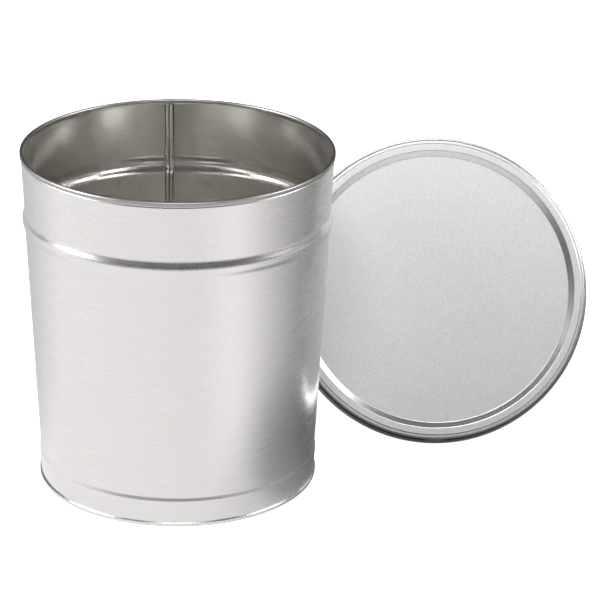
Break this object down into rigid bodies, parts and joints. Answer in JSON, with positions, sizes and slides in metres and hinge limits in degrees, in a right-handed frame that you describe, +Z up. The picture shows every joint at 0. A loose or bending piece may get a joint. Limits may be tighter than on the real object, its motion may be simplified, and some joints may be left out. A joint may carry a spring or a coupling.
{
  "type": "slip-lid tin",
  "caption": "Tall round tapered tinplate tin with a rolled rim and a double-seamed bottom, open, with its recessed slip lid standing beside it.",
  "frame": {"origin": "centre of the standing face of the tin's bottom seam, at floor height", "axes": "+Z up along the tin's axis, +X towards the lid standing at the tin's side, -Y towards the front, which the lid's face looks at"},
  "size_m": [0.483, 0.2939, 0.284],
  "materials": {
    "body_tinplate": "satin tinplate, fine vertical grain outside, glossier and darker inside",
    "end_tinplate": "satin tinplate",
    "sealing_compound": "matt cured compound",
    "lid_tinplate": "matt tinplate with a fine even mottle"
  },
  "bodies": {
    "can": {"can_body": "body_tinplate", "bottom_end": "end_tinplate", "seam_compound": "sealing_compound"},
    "lid": {"lid": "lid_tinplate"}
  },
  "joints": [
    {"name": "lid_lift", "type": "slide", "parent": "can", "child": "lid", "axis": [0.0995, 0, 0.995], "range_m": [0, 0.3]}
  ]
}
